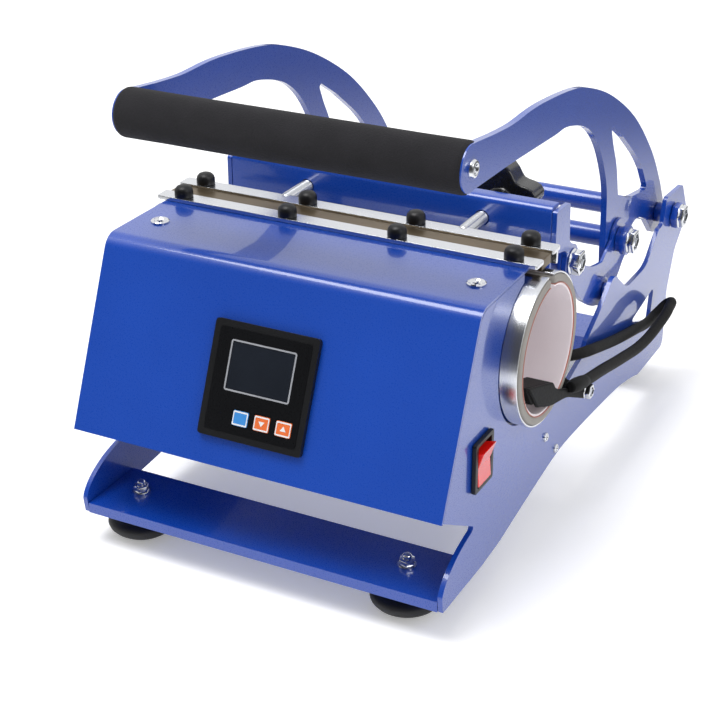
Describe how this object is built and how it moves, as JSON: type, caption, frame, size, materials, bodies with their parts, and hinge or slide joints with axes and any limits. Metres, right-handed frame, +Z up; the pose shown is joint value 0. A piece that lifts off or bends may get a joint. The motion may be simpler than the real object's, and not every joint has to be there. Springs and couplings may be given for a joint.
{
  "type": "mug heat press",
  "caption": "Bench press that clamps a heated sleeve round a mug: sheet-metal frame, foam-gripped toggle lever, sloped control panel and screw-adjusted jaw.",
  "frame": {"origin": "centre of the footprint, without the heater lead, at the underside of the four rubber feet", "axes": "+Z up, +Y from the control panel towards the rear, +X towards the rocker switch's side"},
  "size_m": [0.2713, 0.4228, 0.2761],
  "materials": {
    "blue_coat": "gloss powder coat, fine orange peel",
    "rubber_black": "matt moulded rubber",
    "foam_black": "matt closed-cell foam grip",
    "tube_steel": "plain drawn steel",
    "bolt_chrome": "bright plated",
    "rod_steel": "zinc plated, satin",
    "band_steel": "bright rolled stainless sheet",
    "seam_brown": "heat-darkened steel",
    "silicone_grey": "matt silicone rubber",
    "liner_white": "matt pale silicone",
    "knob_black": "fine satin moulding",
    "window_dark": "gloss dark lens",
    "rocker_red": "gloss moulding, lit from inside",
    "cap_black": "satin moulded rubber",
    "lead_black": "satin rubber sheath",
    "key_blue": "satin printed film",
    "key_orange": "satin printed film"
  },
  "bodies": {
    "base": {"side_plate_right": "blue_coat", "side_plate_left": "blue_coat", "front_foot_plate": "blue_coat", "rear_foot_plate": "blue_coat", "foot_front_right": "rubber_black", "foot_front_left": "rubber_black", "foot_rear_right": "rubber_black", "foot_rear_left": "rubber_black", "front_cover": "blue_coat", "cover_screw_right": "bolt_chrome", "cover_screw_left": "bolt_chrome", "floor_pan": "blue_coat", "heater_band": "band_steel", "heater_sleeve": "silicone_grey", "heater_liner": "liner_white", "front_clamp_strip": "rod_steel", "seam_bar": "seam_brown", "cap_front_1": "cap_black", "cap_front_2": "cap_black", "cap_front_3": "cap_black", "cap_front_4": "cap_black", "panel_bezel": "knob_black", "panel_window": "window_dark", "switch_frame": "knob_black", "lead_boot": "lead_black", "heater_lead": "lead_black", "lever_bolt_right": "bolt_chrome", "lever_bolt_left": "bolt_chrome", "jaw_pin_right": "blue_coat", "jaw_pin_left": "blue_coat"},
    "lever": {"lever_arm_right": "blue_coat", "lever_arm_left": "blue_coat", "grip_tube": "tube_steel", "grip_foam": "foam_black", "upper_cross_tube": "blue_coat", "lower_cross_tube": "blue_coat", "elbow_bolt_right": "bolt_chrome", "elbow_bolt_left": "bolt_chrome", "grip_screw_right": "bolt_chrome", "grip_screw_left": "bolt_chrome"},
    "links": {"toggle_link_right": "blue_coat", "toggle_link_left": "blue_coat"},
    "jaw": {"jaw_bracket_right": "blue_coat", "jaw_bracket_left": "blue_coat", "pressure_plate": "blue_coat", "press_bolt_right": "bolt_chrome", "press_bolt_left": "bolt_chrome"},
    "carriage": {"rear_clamp_strip": "rod_steel", "cap_rear_1": "cap_black", "cap_rear_2": "cap_black", "cap_rear_3": "cap_black", "cap_rear_4": "cap_black", "adjusting_rod_right": "rod_steel", "adjusting_rod_left": "rod_steel"},
    "knob_right": {"star_knob_right": "knob_black"},
    "knob_left": {"star_knob_left": "knob_black"},
    "rocker": {"switch_rocker": "rocker_red"},
    "set_key": {"key_set": "key_blue"},
    "down_key": {"key_down": "key_orange"},
    "up_key": {"key_up": "key_orange"}
  },
  "joints": [
    {"name": "lever_swing", "type": "hinge", "parent": "base", "child": "lever", "pos_m": [0, 0.17756, 0.1235], "axis": [-1, 0, 0], "range_deg": [0, 30]},
    {"name": "links_swing", "type": "hinge", "parent": "lever", "child": "links", "pos_m": [0, 0.08806, 0.1355], "axis": [-1, 0, 0], "range_deg": [-47, 0.5]},
    {"name": "jaw_swing", "type": "hinge", "parent": "base", "child": "jaw", "pos_m": [0, 0.05407, 0.1115], "axis": [-1, 0, 0], "range_deg": [-0.5, 15.5]},
    {"name": "carriage_slide", "type": "slide", "parent": "jaw", "child": "carriage", "axis": [0, 1, 0], "range_m": [0, 0.0075]},
    {"name": "knob_right_turn", "type": "hinge", "parent": "jaw", "child": "knob_right", "pos_m": [0.065, -0.00294, 0.187], "axis": [0, 1, 0], "range_deg": [-1, 2161]},
    {"name": "knob_left_turn", "type": "hinge", "parent": "jaw", "child": "knob_left", "pos_m": [-0.055, -0.00294, 0.187], "axis": [0, 1, 0], "range_deg": [-1, 2161]},
    {"name": "rocker_tilt", "type": "hinge", "parent": "base", "child": "rocker", "pos_m": [0.1155, -0.16144, 0.095], "axis": [0, -1, 0], "range_deg": [0, 14]},
    {"name": "set_press", "type": "slide", "parent": "base", "child": "set_key", "axis": [0, 0.9171, -0.3987], "range_m": [0, 0.001], "stiffness_N_per_m": 400},
    {"name": "down_press", "type": "slide", "parent": "base", "child": "down_key", "axis": [0, 0.9171, -0.3987], "range_m": [0, 0.001], "stiffness_N_per_m": 400},
    {"name": "up_press", "type": "slide", "parent": "base", "child": "up_key", "axis": [0, 0.9171, -0.3987], "range_m": [0, 0.001], "stiffness_N_per_m": 400}
  ],
  "couplings": [
    {"joint": "links_swing", "follows": "lever_swing", "ratio": -1.545},
    {"joint": "jaw_swing", "follows": "lever_swing", "ratio": 0.495},
    {"joint": "knob_right_turn", "follows": "carriage_slide", "rad_per_m": 5026.5},
    {"joint": "knob_left_turn", "follows": "carriage_slide", "rad_per_m": 5026.5}
  ]
}
